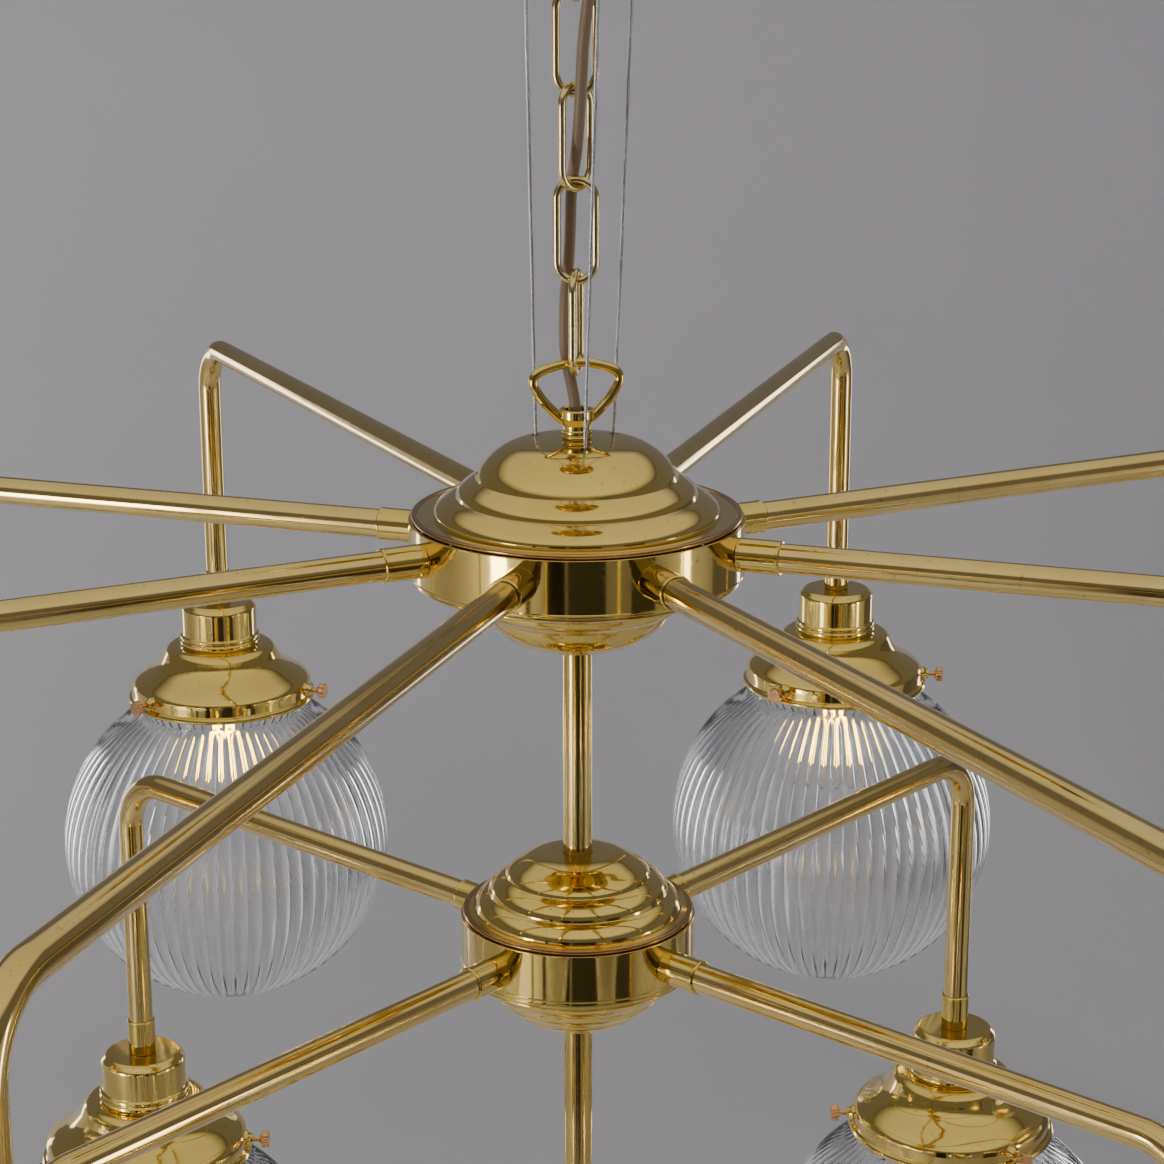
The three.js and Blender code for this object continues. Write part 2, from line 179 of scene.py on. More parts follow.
def curve_through(points, steps, closed=False):
    """Centripetal Catmull-Rom curve through the points."""
    p = [np.array(q, float) for q in points]
    if closed:
        p = [p[-1]] + p + [p[0], p[1]]
    else:
        p = [2 * p[0] - p[1]] + p + [2 * p[-1] - p[-2]]
    out = []
    for i in range(1, len(p) - 2):
        a, b, c, d = p[i - 1:i + 3]
        t0, t1 = 0.0, math.sqrt(np.linalg.norm(b - a))
        t2 = t1 + math.sqrt(np.linalg.norm(c - b))
        t3 = t2 + math.sqrt(np.linalg.norm(d - c))
        for k in range(steps):
            t = t1 + (t2 - t1) * k / steps
            a1 = (t1 - t) / (t1 - t0) * a + (t - t0) / (t1 - t0) * b
            a2 = (t2 - t) / (t2 - t1) * b + (t - t1) / (t2 - t1) * c
            a3 = (t3 - t) / (t3 - t2) * c + (t - t2) / (t3 - t2) * d
            b1 = (t2 - t) / (t2 - t0) * a1 + (t - t0) / (t2 - t0) * a2
            b2 = (t3 - t) / (t3 - t1) * a2 + (t - t1) / (t3 - t1) * a3
            out.append((t2 - t) / (t2 - t1) * b1 + (t - t1) / (t2 - t1) * b2)
    if not closed:
        out.append(p[-2])
    return out


class Shape:
    """Vertices in millimetres, faces and a UV for each corner, gathered from several solids."""

    def __init__(self):
        self.verts, self.faces, self.uvs = [], [], []

    def grid(self, rings, around, uv, wrap_rings=False):
        """rings: list of lists of points, each `around` long, or one point for a pole."""
        starts = []
        for ring in rings:
            starts.append(len(self.verts))
            self.verts.extend([tuple(v) for v in ring])
        count = len(rings) if wrap_rings else len(rings) - 1
        for i in range(count):
            j = (i + 1) % len(rings)
            a, b = starts[i], starts[j]
            na, nb = len(rings[i]), len(rings[j])
            va, vb = uv[i], uv[i + 1]
            for k in range(around):
                k2 = (k + 1) % around
                ua, ub = k / around, (k + 1) / around
                if na > 1 and nb > 1:
                    self.faces.append((a + k, a + k2, b + k2, b + k))
                    self.uvs.append(((ua * va[0], va[1]), (ub * va[0], va[1]),
                                     (ub * vb[0], vb[1]), (ua * vb[0], vb[1])))
                elif na > 1:
                    self.faces.append((a + k, a + k2, b))
                    self.uvs.append(((ua * va[0], va[1]), (ub * va[0], va[1]), (ua * va[0], vb[1])))
                elif nb > 1:
                    self.faces.append((a, b + k2, b + k))
                    self.uvs.append(((ua * vb[0], va[1]), (ub * vb[0], vb[1]), (ua * vb[0], vb[1])))
        return self

    def turn(self, profile, around=96, loop=False, place=None):
        """Revolves (radius, height) points about Z. u runs round and v along, both in millimetres."""
        place = place or Matrix.Identity(4)
        angles = np.arange(around) * TAU / around
        rings, uv, length = [], [], 0.0
        size = max(float(p[0]) for p in profile) * TAU
        for i, (r, z) in enumerate(profile):
            if i:
                length += math.dist(profile[i - 1], (r, z))
            if r < 1e-6:
                ring = [place @ Vector((0, 0, z))]
            else:
                ring = [place @ Vector((r * math.cos(t), r * math.sin(t), z)) for t in angles]
            rings.append(ring)
            uv.append((size, length))
        uv.append((size, length + 1.0))
        return self.grid(rings, around, uv, wrap_rings=loop)

    def tube(self, path, radius, around=24, closed=False, caps=True):
        """Sweeps a circle along the path without twist. radius is a number or one for each point."""
        p = [np.array(q, float) for q in path]
        n = len(p)
        radii = [radius] * n if np.isscalar(radius) else list(radius)
        tangents = []
        for i in range(n):
            a = p[i - 1] if closed or i > 0 else p[i]
            b = p[(i + 1) % n] if closed or i < n - 1 else p[i]
            tangents.append((b - a) / np.linalg.norm(b - a))
        side = np.cross(tangents[0], (0, 0, 1) if abs(tangents[0][2]) < 0.9 else (0, 1, 0))
        side /= np.linalg.norm(side)
        rings, uv, length = [], [], 0.0
        angles = np.arange(around) * TAU / around
        for i in range(n):
            t = tangents[i]
            side = side - t * (side @ t)
            side /= np.linalg.norm(side)
            other = np.cross(t, side)
            rings.append([p[i] + radii[i] * (math.cos(a) * side + math.sin(a) * other) for a in angles])
            if i:
                length += np.linalg.norm(p[i] - p[i - 1])
            uv.append((TAU * max(radii), length))
        if caps and not closed:
            rings = [[p[0]]] + rings + [[p[-1]]]
            uv = [(uv[0][0], -radii[0])] + uv + [(uv[-1][0], length + radii[-1])]
        uv.append((uv[-1][0], length + 1))
        return self.grid(rings, around, uv, wrap_rings=closed)

    def moved(self, start, matrix):
        """Moves every vertex from `start` on."""
        for i in range(start, len(self.verts)):
            self.verts[i] = tuple(matrix @ Vector(self.verts[i]))
        return self

    def mesh(self, name, sharp=38, uvs=True):
        """The finished mesh in metres, smooth but for edges sharper than `sharp` degrees."""
        data = bpy.data.meshes.new(name)
        data.from_pydata([tuple(c * MM for c in v) for v in self.verts], [], self.faces)
        if uvs:
            layer = data.uv_layers.new(name="surface")
            layer.data.foreach_set("uv", [c * MM for face in self.uvs for pair in face for c in pair])
        data.validate()
        data.update()
        data.shade_smooth()
        data.set_sharp_from_angle(angle=math.radians(sharp))
        return data


def outward(data):
    """The same mesh, welded and with its faces turned outward."""
    bm = bmesh.new()
    bm.from_mesh(data)
    bmesh.ops.remove_doubles(bm, verts=bm.verts, dist=1e-7)
    bmesh.ops.recalc_face_normals(bm, faces=bm.faces)
    bm.to_mesh(data)
    bm.free()
    return data


def put(name, data, material, body, slot, place=None, replaces=()):
    """One piece: a mesh with its material, placed, riding on its body."""
    obj = bpy.data.objects.new(name, data)
    bpy.context.scene.collection.objects.link(obj)
    if not data.materials:
        data.materials.append(material)
    if place is not None:
        obj.matrix_world = place
    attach(obj, body)
    if replaces:
        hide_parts(*replaces)
    return obj


def at(x=0.0, y=0.0, z=0.0, turn=0.0):
    """A place in millimetres with a turn about Z in degrees."""
    return Matrix.Translation((x * MM, y * MM, z * MM)) @ Matrix.Rotation(math.radians(turn), 4, "Z")


def drilled(data, cutters):
    """The mesh with holes: cutters are (x, y, radius, low, high) in millimetres."""
    obj = bpy.data.objects.new("drilled", data)
    bpy.context.scene.collection.objects.link(obj)
    tools = []
    for i, (x, y, r, low, high) in enumerate(cutters):
        shape = Shape().turn([(0, low), (r, low), (r, high), (0, high)], 20)
        tool = bpy.data.objects.new("drill", outward(shape.mesh("drill", uvs=False)))
        bpy.context.scene.collection.objects.link(tool)
        tool.location = (x * MM, y * MM, 0)
        cut = obj.modifiers.new("hole", "BOOLEAN")
        cut.operation, cut.solver, cut.object = "DIFFERENCE", "EXACT", tool
        tools.append(tool)
    bpy.context.view_layer.update()
    graph = bpy.context.evaluated_depsgraph_get()
    made = bpy.data.meshes.new_from_object(obj.evaluated_get(graph), depsgraph=graph)
    for o in [obj] + tools:
        bpy.data.objects.remove(o)
    made.shade_smooth()
    made.set_sharp_from_angle(angle=SHARP)
    return made


# ---- Materials ----


class Nodes:
    """Small helper that wires a node tree."""

    def __init__(self, material):
        material.use_nodes = True
        self.tree = material.node_tree
        self.shader = self.tree.nodes["Principled BSDF"]

    def add(self, kind, **settings):
        """A new node. Each setting is one of its inputs or properties."""
        node = self.tree.nodes.new(kind)
        for key, value in settings.items():
            if key in node.inputs:
                node.inputs[key].default_value = value
            else:
                setattr(node, key, value)
        return node

    def link(self, a, b):
        self.tree.links.new(a, b)

    def coords(self, scale, source="UV"):
        """Surface coordinates in metres, times the scale."""
        where = self.add("ShaderNodeTexCoord")
        mapping = self.add("ShaderNodeMapping")
        mapping.inputs["Scale"].default_value = scale
        self.link(where.outputs[source], mapping.inputs["Vector"])
        return mapping.outputs["Vector"]

    def noise(self, vector, scale=1.0, detail=3.0, roughness=0.55):
        node = self.add("ShaderNodeTexNoise", Scale=scale, Detail=detail, Roughness=roughness)
        self.link(vector, node.inputs["Vector"])
        return node.outputs["Fac"]

    def cloud(self, scale, detail, roughness=0.55):
        """Noise in object space, `scale` lumps to the metre."""
        return self.noise(self.coords((scale, scale, scale), "Object"), 1.0, detail, roughness)

    def times(self, a, b):
        """The product of two values, each a socket or a number."""
        node = self.add("ShaderNodeMath", operation="MULTIPLY")
        for socket, value in zip(node.inputs, (a, b)):
            if isinstance(value, float):
                socket.default_value = value
            else:
                self.link(value, socket)
        return node.outputs[0]

    def ranged(self, value, low, high, from_low=0.3, from_high=0.7):
        """Maps from_low..from_high to low..high, and holds at both ends."""
        node = self.add("ShaderNodeMapRange")
        node.inputs["From Min"].default_value = from_low
        node.inputs["From Max"].default_value = from_high
        node.inputs["To Min"].default_value = low
        node.inputs["To Max"].default_value = high
        self.link(value, node.inputs["Value"])
        return node.outputs["Result"]

    def ramp(self, value, stops):
        node = self.add("ShaderNodeValToRGB")
        ramp = node.color_ramp
        while len(ramp.elements) < len(stops):
            ramp.elements.new(0.5)
        for element, (position, colour) in zip(ramp.elements, stops):
            element.position = position
            element.color = (*colour, 1)
        self.link(value, node.inputs["Fac"])
        return node.outputs["Color"]

    def bump(self, height, strength, distance, below=None):
        node = self.add("ShaderNodeBump")
        node.inputs["Strength"].default_value = strength
        node.inputs["Distance"].default_value = distance
        self.link(height, node.inputs["Height"])
        if below is not None:
            self.link(below, node.inputs["Normal"])
        return node.outputs["Normal"]

    def set(self, **values):
        for key, value in values.items():
            self.shader.inputs[key.replace("_", " ")].default_value = value


STAIN = (0.42, 0.34, 0.26)
STAIN_SHARE = 0.6


def metal(name, colours, rough, drawn, grain, wave, coat=0.0):
    """Polished metal. drawn stretches the fine finishing lines along one UV direction."""
    material = bpy.data.materials.new(name)
    n = Nodes(material)
    lines = n.noise(n.coords(drawn), 1.0, 2.0)
    cloud = n.cloud(22, 4.0)
    haze = n.cloud(140, 5.0, 0.65)
    clean = n.ramp(cloud, [(0.3, colours[0]), (0.7, colours[1])])
    specks = n.ranged(n.cloud(420, 2.0), 0.0, STAIN_SHARE, 0.66, 0.76)
    stained = n.add("ShaderNodeMix", data_type="RGBA", blend_type="MULTIPLY")
    n.link(specks, stained.inputs["Factor"])
    n.link(clean, stained.inputs[6])
    stained.inputs[7].default_value = (*STAIN, 1)
    n.link(stained.outputs[2], n.shader.inputs["Base Color"])
    n.link(n.ranged(n.times(haze, lines), rough[0], rough[1], 0.12, 0.42), n.shader.inputs["Roughness"])
    wavy = n.bump(n.cloud(35, 1.0), wave, 0.0006)
    n.link(n.bump(lines, grain, 0.0001, wavy), n.shader.inputs["Normal"])
    n.set(Metallic=1.0)
    if coat:
        n.set(Coat_Weight=coat, Coat_Roughness=0.03)
    return material


BRASS = ((0.77, 0.55, 0.12), (0.84, 0.62, 0.17))
TUBE_BRASS = ((0.72, 0.51, 0.15), (0.83, 0.62, 0.22))
CHAIN_BRASS = ((0.72, 0.56, 0.24), (0.82, 0.66, 0.32))
DARK_BRASS = ((0.50, 0.30, 0.13), (0.66, 0.43, 0.18))
COPPER = ((0.78, 0.40, 0.17), (0.87, 0.50, 0.24))
ZINC = ((0.55, 0.55, 0.55), (0.66, 0.66, 0.67))
BRIGHT_STEEL = ((0.50, 0.50, 0.51), (0.74, 0.74, 0.74))
SHADED_STEEL = ((0.06, 0.06, 0.06), (0.12, 0.12, 0.12))

spun_brass = metal("spun_brass", BRASS, (0.05, 0.13), (30, 1400, 1), 0.012, 0.015, 0.55)
tube_brass = metal("drawn_brass", TUBE_BRASS, (0.06, 0.16), (1600, 8, 1), 0.02, 0.01, 0.5)
collar_brass = metal("turned_brass", BRASS, (0.05, 0.13), (40, 1500, 1), 0.03, 0.01, 0.5)
chain_brass = metal("chain_brass", CHAIN_BRASS, (0.12, 0.24), (900, 60, 1), 0.10, 0.03)
dark_lip = metal("edge_brass", DARK_BRASS, (0.10, 0.22), (40, 900, 1), 0.05, 0.02)
copper = metal("copper_screw", COPPER, (0.16, 0.30), (300, 300, 1), 0.1, 0.05)
steel = metal("zinc_steel", ZINC, (0.25, 0.42), (120, 120, 1), 0.1, 0.05)
wire_steel = metal("wire_steel", BRIGHT_STEEL, (0.18, 0.30), (2000, 200, 1), 0.1, 0.0)
wire_core = metal("wire_core", SHADED_STEEL, (0.4, 0.5), (200, 200, 1), 0.1, 0.0)


BRAID_LINES = 420


def braid_material():
    """Brown braided cotton-and-rayon sleeve over the flex."""
    material = bpy.data.materials.new("flex_braid")
    n = Nodes(material)
    weave = n.add("ShaderNodeMath", operation="MAXIMUM")
    for lean, socket in zip((BRAID_LINES, -BRAID_LINES), weave.inputs):
        yarn = n.add("ShaderNodeTexWave", wave_type="BANDS", bands_direction="DIAGONAL",
                     Scale=1.0, Distortion=0.3)
        n.link(n.coords((lean, BRAID_LINES, 1)), yarn.inputs["Vector"])
        n.link(yarn.outputs["Fac"], socket)
    shade = n.ramp(weave.outputs[0], [(0.0, (0.13, 0.085, 0.045)), (1.0, (0.30, 0.205, 0.115))])
    n.link(shade, n.shader.inputs["Base Color"])
    n.link(n.ranged(weave.outputs[0], 0.55, 0.38, 0, 1), n.shader.inputs["Roughness"])
    n.link(n.bump(weave.outputs[0], 0.35, 0.0002), n.shader.inputs["Normal"])
    n.set(Sheen_Weight=0.3, Sheen_Roughness=0.4)
    return material


def plastic_material(name, low, high, rough):
    """Moulded plastic, faintly clouded and finely grained."""
    material = bpy.data.materials.new(name)
    n = Nodes(material)
    cloud = n.cloud(60, 4.0)
    fine = n.cloud(900, 2.0)
    n.link(n.ramp(cloud, [(0.3, low), (0.7, high)]), n.shader.inputs["Base Color"])
    n.link(n.ranged(cloud, rough, rough + 0.12), n.shader.inputs["Roughness"])
    n.link(n.bump(fine, 0.08, 0.0001), n.shader.inputs["Normal"])
    return material


def glass_material(name, tint, rough, wave):
    """Clear moulded glass with a faint ripple."""
    material = bpy.data.materials.new(name)
    n = Nodes(material)
    ripple = n.cloud(26, 2.0)
    film = n.cloud(70, 4.0)
    n.link(n.ranged(film, rough[0], rough[1]), n.shader.inputs["Roughness"])
    n.link(n.bump(ripple, wave, 0.001), n.shader.inputs["Normal"])
    n.set(Base_Color=(*tint, 1), Transmission_Weight=1.0, IOR=1.49)
    return material


def glow_material(name, colour, strength):
    """A hot filament, a little uneven along its length."""
    hotter = tuple(min(1.0, c * 1.25) for c in colour)
    material = bpy.data.materials.new(name)
    n = Nodes(material)
    n.link(n.ramp(n.cloud(300, 2.0), [(0.3, colour), (0.7, hotter)]), n.shader.inputs["Emission Color"])
    n.set(Emission_Strength=strength, Base_Color=(0.3, 0.2, 0.1, 1), Roughness=0.5)
    return material


braid = braid_material()
holder_plastic = plastic_material("lampholder_plastic", (0.55, 0.53, 0.48), (0.66, 0.64, 0.58), 0.35)
bush_plastic = plastic_material("bush_plastic", (0.60, 0.57, 0.50), (0.70, 0.67, 0.60), 0.45)
globe_glass = glass_material("globe_glass", (0.985, 0.99, 1.0), (0.0, 0.02), 0.05)
bulb_glass = glass_material("bulb_glass", (1.0, 1.0, 1.0), (0.0, 0.01), 0.0)
filament = glow_material("filament_glow", (0.80, 0.50, 0.05), 18.0)

# ---- Cords: the flex and the three safety wires ----


def make_flex():
    """The braided flex, curving down from the rose beside the chain, and the bush that grips it."""
    route = curve_through(FLEX_ROUTE, 6)
    data = Shape().tube(route, FLEX_R, 20).mesh("flex_sleeve")
    data.materials.append(braid)
    obj = bpy.data.objects.new("flex_sleeve", data)
    bpy.context.scene.collection.objects.link(obj)
    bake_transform(obj)
    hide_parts("flex")
    profile = softened([(5.3, -30.3), (4.5, -33.8), (2.8, -33.8), (2.8, -30.3)], 0.5, loop=True)
    bush = Shape().turn(profile, 40, loop=True)
    grip = put("flex_grip", outward(bush.mesh("flex_grip")), bush_plastic, "ceiling_fitting", "pale_plastic",
               at(*FLEX_ENTRY), replaces=("flex_bush",))


def wire_ends(i):
    """Both ends of a safety wire, each a little way inside its hole, and its direction."""
    rose = Vector((*WIRE_ROSE_HOLES[i], -ROSE_DEPTH))
    cap = Vector((*WIRE_CAP_HOLES[i], UPPER_Z + WIRE_CAP_Z))
    along = (cap - rose).normalized()
    return rose - along * WIRE_TAILS[0], cap + along * WIRE_TAILS[1], along


def make_wire(i):
    """Six strands laid round a core, and a crimped ferrule at each hidden end."""
    top, low, along = wire_ends(i)
    side = along.orthogonal().normalized()
    other = along.cross(side)
    length = (low - top).length
    shape = Shape()
    steps = int(length / STRAND_LAY * 14)
    for s in range(STRANDS):
        path = []
        for k in range(steps + 1):
            d = length * k / steps
            a = TAU * (s / STRANDS + d / STRAND_LAY)
            path.append(top + along * d + STRAND_RING * (math.cos(a) * side + math.sin(a) * other))
        shape.tube([tuple(p) for p in path], STRAND_R, 6)
    core = Shape().tube([tuple(top + along * length * k / 40) for k in range(41)], CORE_R, 10)
    body = f"wire_{i + 1}"
    data = shape.mesh(f"wire_rope_{i + 1}", sharp=180)
    obj = put(f"wire_rope_{i + 1}", data, wire_steel, body, "wire_rope", replaces=(f"safety_wire_{i + 1}",))
    ferrule = Shape()
    for centre in (top + along * 1.6, low - along * 1.6):
        start = len(ferrule.verts)
        ferrule.turn(softened([(0, -1.6), (1.35, -1.6), (1.35, 1.6), (0, 1.6)], 0.35), 20)
        ferrule.moved(start, Matrix.Translation(centre) @ along.to_track_quat("Z", "Y").to_matrix().to_4x4())
    # The core's near-black steel is painted shade: it darkens the grooves between the strands.
    heart = put(f"wire_core_{i + 1}", core.mesh(f"wire_core_{i + 1}"), wire_core, body, "wire_rope")
    crimp = put(f"wire_crimps_{i + 1}", ferrule.mesh(f"wire_crimps_{i + 1}"), steel, body, "wire_rope")
    path = [tuple((top + along * length * k / 20) * MM) for k in range(21)]


make_flex()
for wire in range(3):
    make_wire(wire)

# ---- Ceiling fitting ----


def make_ceiling_fitting():
    """Steel plate with its spigot, spun rose with four holes, and the hook eye under it."""
    plate = Shape().turn(softened([(0, 0), (44, 0), (44, -3), (8, -3), (8, -13), (0, -13)], 0.6), 72)
    put("ceiling_plate_fine", plate.mesh("ceiling_plate_fine"), steel, "ceiling_fitting", "zinc_steel",
        replaces=("ceiling_plate",))
    dome = [(55, 0, 0.2), (55, -4, 3), (50, -17, 9), (42, -26, 9), (34, -30, 5), (3.6, -30, 0.4),
            (3.6, -28.6, 0.3), (33, -28.6, 5), (41, -24.8, 9), (48.6, -16.4, 9), (53.7, -4, 3),
            (53.7, 0, 0.2)]
    rose = outward(Shape().turn(softened(dome, 1, 6, loop=True), 128, loop=True).mesh("ceiling_rose_shell"))
    holes = [(x, y, 1.6, -32, -26) for x, y in WIRE_ROSE_HOLES] + [(*FLEX_ENTRY, 3.6, -32, -26)]
    put("ceiling_rose_shell", drilled(rose, holes), spun_brass, "ceiling_fitting", "polished_brass",
        replaces=("ceiling_rose",))
    hook = Shape()
    shank = [(0, -51), (3, -51), (3.6, -42, 3), (8, -34.6, 1.5), (8, -30.4), (3, -30.4), (3, -13.5),
             (0, -13.5)]
    hook.turn(softened(shank, 0.6), 48)
    ring = [(0, 10 * math.sin(a), HOOK_RING_Z + 10 * math.cos(a)) for a in np.arange(64) * TAU / 64]
    hook.tube(ring, 2.0, 20, closed=True)
    put("hook_eye", hook.mesh("hook_eye"), chain_brass, "ceiling_fitting", "polished_brass",
        replaces=("ceiling_hook",))


make_ceiling_fitting()

# ---- Chain and loop ----


def link_mesh():
    """Bent wire with its butt joint half way up one leg."""
    stretch = LINK_LENGTH / 2 - LINK_HALF_WIDTH - LINK_WIRE_R
    r = LINK_HALF_WIDTH
    path = [(r, 0, z) for z in np.linspace(BUTT_GAP, stretch, 8)[:-1]]
    path += [(r * math.cos(a), 0, stretch + r * math.sin(a)) for a in np.linspace(0, math.pi, 25)]
    path += [(-r, 0, z) for z in np.linspace(stretch, -stretch, 14)[1:-1]]
    path += [(r * math.cos(a), 0, -stretch + r * math.sin(a)) for a in np.linspace(math.pi, TAU, 25)]
    path += [(r, 0, z) for z in np.linspace(-stretch, -BUTT_GAP, 8)[1:]]
    return Shape().tube(path, LINK_WIRE_R, 20).mesh("chain_link")


def make_chain():
    """Four links, each turned against the one above it."""
    data = link_mesh()
    for i, turn in enumerate(LINK_TURNS):
        bottom = LOWEST_LINK + (len(LINK_TURNS) - 1 - i) * LINK_PITCH
        flip = 180 if i % 2 else 0
        put(f"chain_link_{i + 1}_wire", data, chain_brass, "chain", "polished_brass",
            at(0, 0, UPPER_Z + bottom + LINK_LENGTH / 2, turn + flip), replaces=(f"chain_link_{i + 1}",))


def make_loop():
    """Cast loop on the turned nipple that screws into the upper cap."""
    outline = [(-6, 53.6), (-9.7, 57.2), (-15.3, 63.4), (-18.9, 70.5), (-17.5, 74), (-9.2, 77.4),
               (0, 78.6), (9.2, 77.4), (17.5, 74), (18.9, 70.5), (15.3, 63.4), (9.7, 57.2), (6, 53.6)]
    shape = Shape()
    shape.tube(curve_through([(x, 0, z) for x, z in outline], 8), 2.1, 20)
    nipple = [(5.7, 50.2), (5.7, 58.1), (6.2, 58.6), (7.1, 58.6, 0.4), (7.5, 58.0), (7.5, 54.6, 1.5),
              (6.0, 51.6, 0.8), (5.9, 49.6, 0.4), (6.5, 49.2, 0.2), (6.5, 47.8, 0.3), (6.0, 47.2, 0.3),
              (6.4, 46.6), (6.4, 45.8), (0, 45.8), (0, 50.2)]
    shape.turn(softened(nipple, 0.25), 64)
    put("suspension_loop_cast", shape.mesh("suspension_loop_cast"), spun_brass, *HUB_BRASS,
        at(0, 0, UPPER_Z, LOOP_TURN), replaces=("suspension_loop",))


make_chain()
make_loop()

# ---- Hubs ----


def band(name, radius, top, bottom, z, node, beads):
    """The rolled band that carries the arms, with fine beads near its lower edge."""
    outside = [(radius, bottom)]
    for height in sorted(beads):
        outside += [(radius, height - 0.45, 0.1), (radius + 0.28, height, 0.25), (radius, height + 0.45, 0.1)]
    profile = outside + [(radius, top), (radius - 1.8, top), (radius - 1.8, bottom)]
    data = outward(Shape().turn(softened(profile, 0.35, loop=True), 192, loop=True).mesh(name))
    put(name, data, spun_brass, *HUB_BRASS, at(0, 0, z), replaces=(node,))


UPPER_DOME = (
    ((62.5, 12.8), (62.2, 14.4), (61.2, 16.1), (59.2, 17.9), (55.8, 19.9), (52.4, 21.1)),
    ((52.4, 21.1), (51.9, 22.6), (50.9, 24.2), (49.2, 25.7), (46.6, 27.5), (43.9, 28.9)),
    ((43.9, 28.9), (42.9, 31.2), (41.2, 33.9), (37.8, 37.6), (34.2, 40.4), (29.6, 42.9), (25.0, 44.2),
     (18.8, 45.0), (11.0, 45.5), (4.5, 45.7)),
)
LOWER_DOME = (
    ((46.9, 14.8), (46.7, 16.1), (46.0, 17.8), (44.6, 19.7), (42.6, 21.4), (40.2, 22.6)),
    ((40.2, 22.6), (39.8, 24.0), (38.9, 25.8), (37.3, 27.5), (35.2, 29.1), (32.4, 30.5)),
    ((32.4, 30.5), (31.6, 32.2), (29.4, 34.2), (26.0, 36.3), (22.6, 38.2), (20.0, 39.2), (16.5, 39.9),
     (12.0, 40.3), (6.7, 40.5)),
)


DOME_WALL = 1.1
BOWL_SHRINK = 0.93
BOWL_SEAT = -14.0
BOWL_BORE_R = 6.8


def dome_profile(lobes, rim_r, rim_z):
    """Section of a stepped cover: a flat rim, then its lobes, then the inside of its wall."""
    bore = lobes[-1][-1][0]
    outside = [(rim_r - 1.6, rim_z + 1.2, 0.6)]
    for points in lobes:
        outside += lobe(points)
    inside = [(max(r - DOME_WALL * 0.9, bore), z - DOME_WALL)
              for points in lobes[::-1] for r, z in points[::-1]]
    return softened(outside + inside + [(rim_r - 3.0, rim_z, 0.4)], 0.3, 5, loop=True)


def bowl_profile():
    """Section of the bowl under the upper band, which repeats the cover's steps downwards."""
    first = UPPER_DOME[0][0][1]
    lobes = [[(max(r * BOWL_SHRINK, BOWL_BORE_R), (z - first) * BOWL_SHRINK + 1.6) for r, z in points]
             for points in UPPER_DOME]
    outside = [(71.4, 0, 0.4), (71.9, 1.4, 0.5)]
    for points in lobes:
        outside += lobe(points)
    inside = [(max(r - 1.0, BOWL_BORE_R), z - DOME_WALL) for points in lobes[::-1] for r, z in points[::-1]]
    section = outside + inside + [(57.0, 0.2, 0.4)]
    return softened([(p[0], BOWL_SEAT - p[1], *p[2:]) for p in section], 0.3, 5, loop=True)


def lip(name, radius, z, high):
    """Rolled dark edge where the cover sits on the band."""
    profile = softened([(radius - 3.5, z), (radius - 0.6, z, 0.5), (radius, z + high * 0.5, 0.6),
                        (radius - 0.5, z + high, 0.5), (radius - 2.4, z + high, 0.4),
                        (radius - 3.5, z + high * 0.6)],
                       0.3, 5, loop=True)
    return outward(Shape().turn(profile, 192, loop=True).mesh(name))


def make_upper_hub():
    """Band, dark lip, drilled cover and the bowl below."""
    band("upper_band", UPPER_BAND_R - 0.2, 11.0, -13.7, UPPER_Z, "upper_hub_band", (-12.4,))
    put("upper_lip", lip("upper_lip", 71.9, 11.25, 2.1), dark_lip, *HUB_BRASS, at(0, 0, UPPER_Z))
    profile = dome_profile(UPPER_DOME, 71.2, 11.6)
    data = outward(Shape().turn(profile, 192, loop=True).mesh("upper_dome"))
    holes = [(x, y, 1.7, 36, 50) for x, y in WIRE_CAP_HOLES]
    put("upper_dome", drilled(data, holes), spun_brass, *HUB_BRASS, at(0, 0, UPPER_Z),
        replaces=("upper_cap",))
    data = outward(Shape().turn(bowl_profile(), 192, loop=True).mesh("upper_bowl_spun"))
    put("upper_bowl_spun", data, spun_brass, *HUB_BRASS, at(0, 0, UPPER_Z), replaces=("upper_bowl",))


def make_lower_hub():
    """Band between two equal covers, the lower one turned over."""
    band("lower_band", LOWER_BAND_R - 0.2, 12.4, -12.4, LOWER_Z, "lower_hub_band", (-9.0, -11.0))
    profile = dome_profile(LOWER_DOME, 51.8, 12.9)
    dome = outward(Shape().turn(profile, 160, loop=True).mesh("lower_dome"))
    sides = (("lower_cap", 0, lip("lower_lip", 52.0, 12.65, 2.1), dark_lip),
             ("lower_bowl", math.pi, lip("lower_edge", 52.0, 12.65, 1.6), collar_brass))
    for node, tip, rim, rim_metal in sides:
        place = at(0, 0, LOWER_Z) @ Matrix.Rotation(tip, 4, "X")
        put(f"{node}_spun", dome, spun_brass, *HUB_BRASS, place, replaces=(node,))
        put(f"{node}_lip", rim, rim_metal, *HUB_BRASS, place)


make_upper_hub()
make_lower_hub()

# ---- Stems and arms ----


def collar_mesh():
    """Sleeve with a fine raised bead at its free end. It starts at z 0 and ends at its length."""
    end = COLLAR_LENGTH
    profile = [(TUBE_R - 0.4, 0), (COLLAR_R, 0, 0.25), (COLLAR_R, end - 1.5, 0.1),
               (COLLAR_R + 0.12, end - 1.2, 0.15), (COLLAR_R + 0.12, end - 0.5, 0.3),
               (COLLAR_R - 0.35, end, 0.3), (TUBE_R - 0.4, end)]
    return outward(Shape().turn(softened(profile, 0.2, 4, loop=True), 64, loop=True).mesh("tube_collar"))


